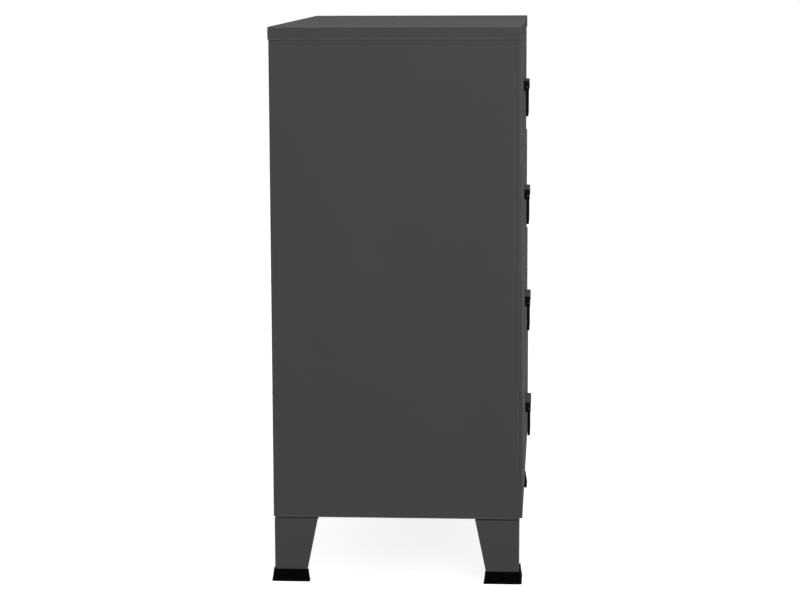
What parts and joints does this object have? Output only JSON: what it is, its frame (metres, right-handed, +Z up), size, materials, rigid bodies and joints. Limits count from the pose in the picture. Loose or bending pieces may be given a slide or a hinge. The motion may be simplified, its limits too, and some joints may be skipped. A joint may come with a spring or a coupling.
{
  "type": "metal drawer cabinet",
  "caption": "Freestanding sheet-steel cabinet on tapered legs with stacked full-width drawers, drop handles and roller runners.",
  "frame": {"origin": "on the floor, under the middle of the whole cabinet's box", "axes": "+X across the width to the right of someone who faces the drawers, -Y out of the drawer fronts, +Z up"},
  "size_m": [0.7848, 0.432, 0.93],
  "materials": {
    "body_paint": "fine-textured satin powder coat, anthracite",
    "front_paint": "fine-textured satin powder coat, anthracite",
    "box_paint": "matt powder coat, anthracite",
    "handle_paint": "semi-gloss black stove enamel",
    "shoe_plastic": "moulded black plastic, slightly grained",
    "roller_nylon": "moulded natural nylon",
    "runner_zinc": "zinc-plated strip steel",
    "fastener_zinc": "bright zinc plate",
    "screw_black": "black zinc plate"
  },
  "bodies": {
    "cabinet": {"top_panel": "body_paint", "side_panel_left": "body_paint", "side_panel_right": "body_paint", "bottom_panel": "body_paint", "back_panel": "body_paint", "top_rail": "body_paint", "divider_rail_1": "body_paint", "divider_rail_2": "body_paint", "divider_rail_3": "body_paint", "leg_front_left": "body_paint", "leg_front_right": "body_paint", "leg_rear_left": "body_paint", "leg_rear_right": "body_paint", "shoe_front_left": "shoe_plastic", "shoe_front_right": "shoe_plastic", "shoe_rear_left": "shoe_plastic", "shoe_rear_right": "shoe_plastic", "leg_bolts": "fastener_zinc", "leg_nuts": "fastener_zinc", "back_screws": "screw_black", "lid_screws": "screw_black", "cabinet_runners_1": "runner_zinc", "cabinet_runners_2": "runner_zinc", "cabinet_runners_3": "runner_zinc", "cabinet_runners_4": "runner_zinc"},
    "drawer_1": {"drawer_front_1": "front_paint", "drawer_box_1": "box_paint", "drawer_runners_1": "runner_zinc", "handle_bracket_1": "handle_paint", "handle_screws_1": "fastener_zinc"},
    "bail_1": {"bail_1": "handle_paint"},
    "front_rollers_1": {"front_rollers_1": "roller_nylon"},
    "rear_rollers_1": {"rear_rollers_1": "roller_nylon"},
    "drawer_2": {"drawer_front_2": "front_paint", "drawer_box_2": "box_paint", "drawer_runners_2": "runner_zinc", "handle_bracket_2": "handle_paint", "handle_screws_2": "fastener_zinc"},
    "bail_2": {"bail_2": "handle_paint"},
    "front_rollers_2": {"front_rollers_2": "roller_nylon"},
    "rear_rollers_2": {"rear_rollers_2": "roller_nylon"},
    "drawer_3": {"drawer_front_3": "front_paint", "drawer_box_3": "box_paint", "drawer_runners_3": "runner_zinc", "handle_bracket_3": "handle_paint", "handle_screws_3": "fastener_zinc"},
    "bail_3": {"bail_3": "handle_paint"},
    "front_rollers_3": {"front_rollers_3": "roller_nylon"},
    "rear_rollers_3": {"rear_rollers_3": "roller_nylon"},
    "drawer_4": {"drawer_front_4": "front_paint", "drawer_box_4": "box_paint", "drawer_runners_4": "runner_zinc", "handle_bracket_4": "handle_paint", "handle_screws_4": "fastener_zinc"},
    "bail_4": {"bail_4": "handle_paint"},
    "front_rollers_4": {"front_rollers_4": "roller_nylon"},
    "rear_rollers_4": {"rear_rollers_4": "roller_nylon"}
  },
  "joints": [
    {"name": "drawer_1_slide", "type": "slide", "parent": "cabinet", "child": "drawer_1", "axis": [0, -1, 0], "range_m": [0, 0.3]},
    {"name": "bail_1_swing", "type": "hinge", "parent": "drawer_1", "child": "bail_1", "pos_m": [0, -0.20695, 0.813], "axis": [-1, 0, 0], "range_deg": [0, 100]},
    {"name": "front_rollers_1_spin", "type": "hinge", "parent": "cabinet", "child": "front_rollers_1", "pos_m": [0, -0.16835, 0.7352], "axis": [1, 0, 0], "range_deg": [0, 1911]},
    {"name": "rear_rollers_1_spin", "type": "hinge", "parent": "drawer_1", "child": "rear_rollers_1", "pos_m": [0, 0.16365, 0.7346], "axis": [1, 0, 0], "range_deg": [0, 1911]},
    {"name": "drawer_2_slide", "type": "slide", "parent": "cabinet", "child": "drawer_2", "axis": [0, -1, 0], "range_m": [0, 0.3]},
    {"name": "bail_2_swing", "type": "hinge", "parent": "drawer_2", "child": "bail_2", "pos_m": [0, -0.20875, 0.6197], "axis": [-1, 0, 0], "range_deg": [0, 100]},
    {"name": "front_rollers_2_spin", "type": "hinge", "parent": "cabinet", "child": "front_rollers_2", "pos_m": [0, -0.16835, 0.5419], "axis": [1, 0, 0], "range_deg": [0, 1911]},
    {"name": "rear_rollers_2_spin", "type": "hinge", "parent": "drawer_2", "child": "rear_rollers_2", "pos_m": [0, 0.16185, 0.5413], "axis": [1, 0, 0], "range_deg": [0, 1911]},
    {"name": "drawer_3_slide", "type": "slide", "parent": "cabinet", "child": "drawer_3", "axis": [0, -1, 0], "range_m": [0, 0.3]},
    {"name": "bail_3_swing", "type": "hinge", "parent": "drawer_3", "child": "bail_3", "pos_m": [0, -0.21055, 0.4264], "axis": [-1, 0, 0], "range_deg": [0, 100]},
    {"name": "front_rollers_3_spin", "type": "hinge", "parent": "cabinet", "child": "front_rollers_3", "pos_m": [0, -0.16835, 0.3486], "axis": [1, 0, 0], "range_deg": [0, 1911]},
    {"name": "rear_rollers_3_spin", "type": "hinge", "parent": "drawer_3", "child": "rear_rollers_3", "pos_m": [0, 0.16005, 0.348], "axis": [1, 0, 0], "range_deg": [0, 1911]},
    {"name": "drawer_4_slide", "type": "slide", "parent": "cabinet", "child": "drawer_4", "axis": [0, -1, 0], "range_m": [0, 0.3]},
    {"name": "bail_4_swing", "type": "hinge", "parent": "drawer_4", "child": "bail_4", "pos_m": [0, -0.21235, 0.2331], "axis": [-1, 0, 0], "range_deg": [0, 100]},
    {"name": "front_rollers_4_spin", "type": "hinge", "parent": "cabinet", "child": "front_rollers_4", "pos_m": [0, -0.16835, 0.1553], "axis": [1, 0, 0], "range_deg": [0, 1911]},
    {"name": "rear_rollers_4_spin", "type": "hinge", "parent": "drawer_4", "child": "rear_rollers_4", "pos_m": [0, 0.15825, 0.1547], "axis": [1, 0, 0], "range_deg": [0, 1911]}
  ],
  "couplings": [
    {"joint": "front_rollers_1_spin", "follows": "drawer_1_slide", "rad_per_m": 111.11},
    {"joint": "rear_rollers_1_spin", "follows": "drawer_1_slide", "rad_per_m": 111.11},
    {"joint": "front_rollers_2_spin", "follows": "drawer_2_slide", "rad_per_m": 111.11},
    {"joint": "rear_rollers_2_spin", "follows": "drawer_2_slide", "rad_per_m": 111.11},
    {"joint": "front_rollers_3_spin", "follows": "drawer_3_slide", "rad_per_m": 111.11},
    {"joint": "rear_rollers_3_spin", "follows": "drawer_3_slide", "rad_per_m": 111.11},
    {"joint": "front_rollers_4_spin", "follows": "drawer_4_slide", "rad_per_m": 111.11},
    {"joint": "rear_rollers_4_spin", "follows": "drawer_4_slide", "rad_per_m": 111.11}
  ]
}
